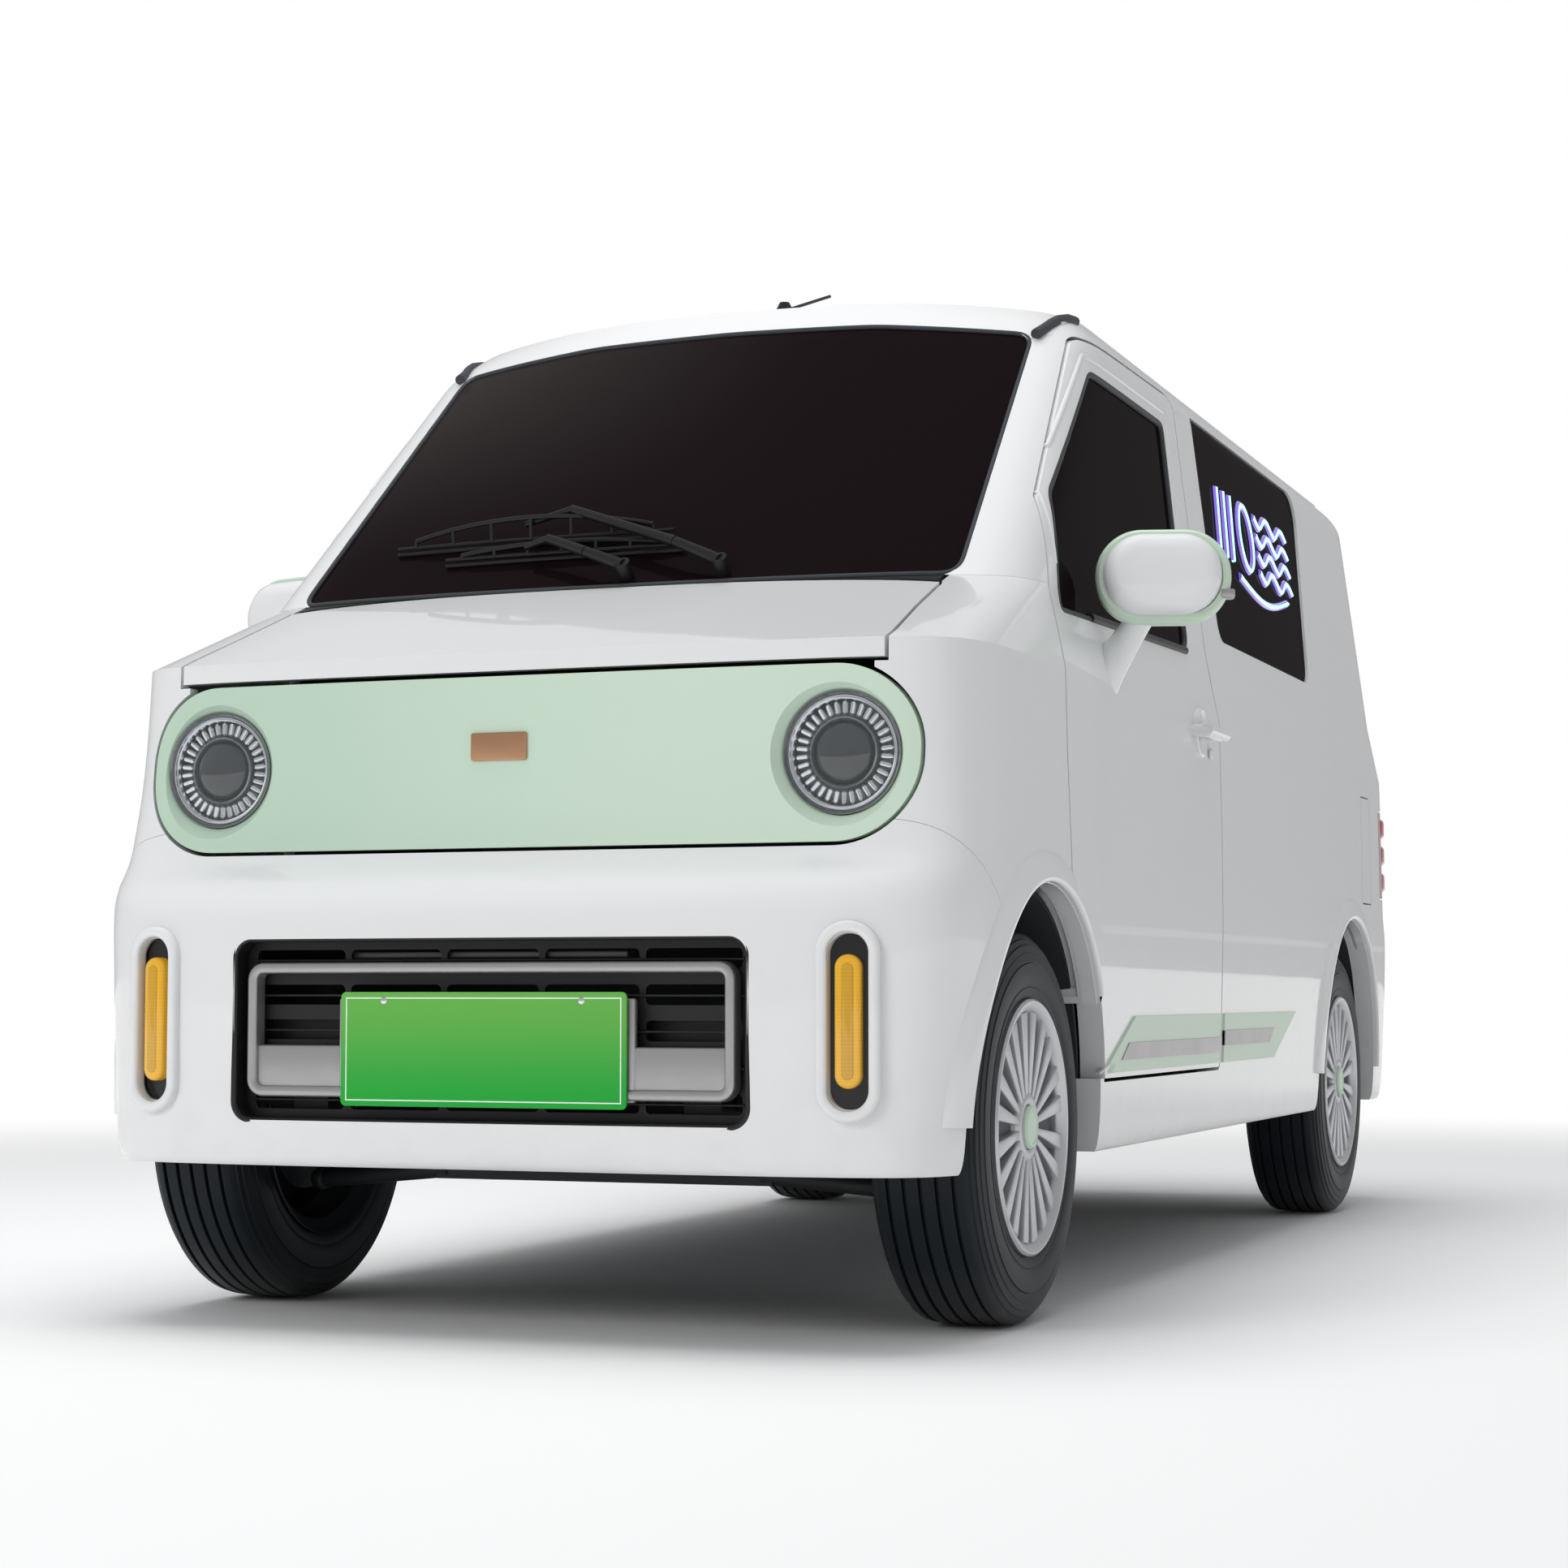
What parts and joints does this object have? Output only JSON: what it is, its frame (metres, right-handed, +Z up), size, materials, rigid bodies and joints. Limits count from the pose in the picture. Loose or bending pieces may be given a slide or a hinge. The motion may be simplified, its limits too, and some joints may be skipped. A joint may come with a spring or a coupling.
{
  "type": "electric cargo van",
  "caption": "Small electric cargo van with opening front doors, tailgate, bonnet and charge flap, steered front wheels and a closed load space.",
  "frame": {"origin": "on the ground, midway between the bumpers and on the centre plane", "axes": "+Z up, -Y forward, +X to the vehicle's left"},
  "size_m": [1.852, 3.5614, 1.8448],
  "materials": {
    "white_paint": "gloss white",
    "mint_paint": "satin mint",
    "glass_dark": "dark tint",
    "tyre": "ribbed",
    "rim": "silver",
    "steel_dark": "black painted",
    "plastic_black": "grained",
    "lamp_clear": "clear",
    "lamp_amber": "amber",
    "lamp_red": "red",
    "silver_trim": "silver",
    "plate_green": "green",
    "seat_fabric": "woven",
    "dash_grey": "grained",
    "floor_steel": "satin grey",
    "battery_case": "cast"
  },
  "bodies": {
    "body": {"body_side_left": "white_paint", "body_side_right": "white_paint", "roof": "white_paint", "front_fenders": "white_paint", "front_bumper": "white_paint", "rear_bumper": "white_paint", "lamp_panel": "mint_paint", "headlamps": "lamp_clear", "corner_lamps": "lamp_amber", "grille": "plastic_black", "grille_frame": "silver_trim", "number_plate": "plate_green", "cowl": "plastic_black", "windscreen": "glass_dark", "wipers": "plastic_black", "sliding_door": "white_paint", "side_glass": "glass_dark", "tail_lamps": "lamp_red", "floor": "floor_steel", "chassis_rails": "steel_dark", "battery_pack": "battery_case", "front_suspension": "steel_dark", "rear_axle": "steel_dark", "dashboard": "dash_grey", "seats": "seat_fabric", "antenna": "plastic_black"},
    "door_left": {"door_left": "white_paint", "door_glass_left": "glass_dark", "mirror_left": "white_paint"},
    "door_right": {"door_right": "white_paint", "door_glass_right": "glass_dark", "mirror_right": "white_paint"},
    "bonnet": {"bonnet": "white_paint"},
    "tailgate": {"tailgate": "white_paint", "tailgate_glass": "glass_dark"},
    "charge_flap": {"charge_flap": "white_paint"},
    "steering_wheel": {"steering_wheel": "plastic_black"},
    "rack_bar": {"tie_rods": "steel_dark"},
    "knuckle_left": {"knuckle_left": "steel_dark"},
    "knuckle_right": {"knuckle_right": "steel_dark"},
    "wheel_front_left": {"tyre_front_left": "tyre", "rim_front_left": "rim"},
    "wheel_front_right": {"tyre_front_right": "tyre", "rim_front_right": "rim"},
    "wheel_rear_left": {"tyre_rear_left": "tyre", "rim_rear_left": "rim"},
    "wheel_rear_right": {"tyre_rear_right": "tyre", "rim_rear_right": "rim"}
  },
  "joints": [
    {"name": "steering_wheel_turn", "type": "hinge", "parent": "body", "child": "steering_wheel", "pos_m": [0.325, -0.82, 0.925], "axis": [0, 0.7636, 0.6457], "range_deg": [-480, 480]},
    {"name": "steer_left", "type": "hinge", "parent": "body", "child": "knuckle_left", "pos_m": [0.534, -1.29, 0.3], "axis": [0, 0, 1], "range_deg": [-30, 30]},
    {"name": "steer_right", "type": "hinge", "parent": "body", "child": "knuckle_right", "pos_m": [-0.534, -1.29, 0.3], "axis": [0, 0, 1], "range_deg": [-30, 30]},
    {"name": "rack_slide", "type": "slide", "parent": "body", "child": "rack_bar", "axis": [1, 0, 0], "range_m": [-0.0501, 0.0501]},
    {"name": "door_left_hinge", "type": "hinge", "parent": "body", "child": "door_left", "pos_m": [0.717, -1.192, 0.8], "axis": [0, 0, -1], "range_deg": [0, 65]},
    {"name": "door_right_hinge", "type": "hinge", "parent": "body", "child": "door_right", "pos_m": [-0.717, -1.192, 0.8], "axis": [0, 0, 1], "range_deg": [0, 65]},
    {"name": "bonnet_hinge", "type": "hinge", "parent": "body", "child": "bonnet", "pos_m": [0, -1.346, 1.152], "axis": [-1, 0, 0], "range_deg": [0, 50]},
    {"name": "tailgate_hinge", "type": "hinge", "parent": "body", "child": "tailgate", "pos_m": [0, 1.722, 1.646], "axis": [1, 0, 0], "range_deg": [0, 80]},
    {"name": "charge_flap_hinge", "type": "hinge", "parent": "body", "child": "charge_flap", "pos_m": [0.7185, 1.422, 0.84], "axis": [0, 0, -1], "range_deg": [0, 95]},
    {"name": "wheel_front_left_spin", "type": "hinge", "parent": "knuckle_left", "child": "wheel_front_left", "pos_m": [0.606, -1.29, 0.3], "axis": [1, 0, 0], "continuous": true},
    {"name": "wheel_front_right_spin", "type": "hinge", "parent": "knuckle_right", "child": "wheel_front_right", "pos_m": [-0.606, -1.29, 0.3], "axis": [1, 0, 0], "continuous": true},
    {"name": "wheel_rear_left_spin", "type": "hinge", "parent": "body", "child": "wheel_rear_left", "pos_m": [0.606, 1.26, 0.3], "axis": [1, 0, 0], "continuous": true},
    {"name": "wheel_rear_right_spin", "type": "hinge", "parent": "body", "child": "wheel_rear_right", "pos_m": [-0.606, 1.26, 0.3], "axis": [1, 0, 0], "continuous": true}
  ],
  "couplings": [
    {"joint": "steer_left", "follows": "steering_wheel_turn", "ratio": 0.0625},
    {"joint": "steer_right", "follows": "steering_wheel_turn", "ratio": 0.0625},
    {"joint": "rack_slide", "follows": "steering_wheel_turn", "m_per_rad": -0.0059683}
  ]
}
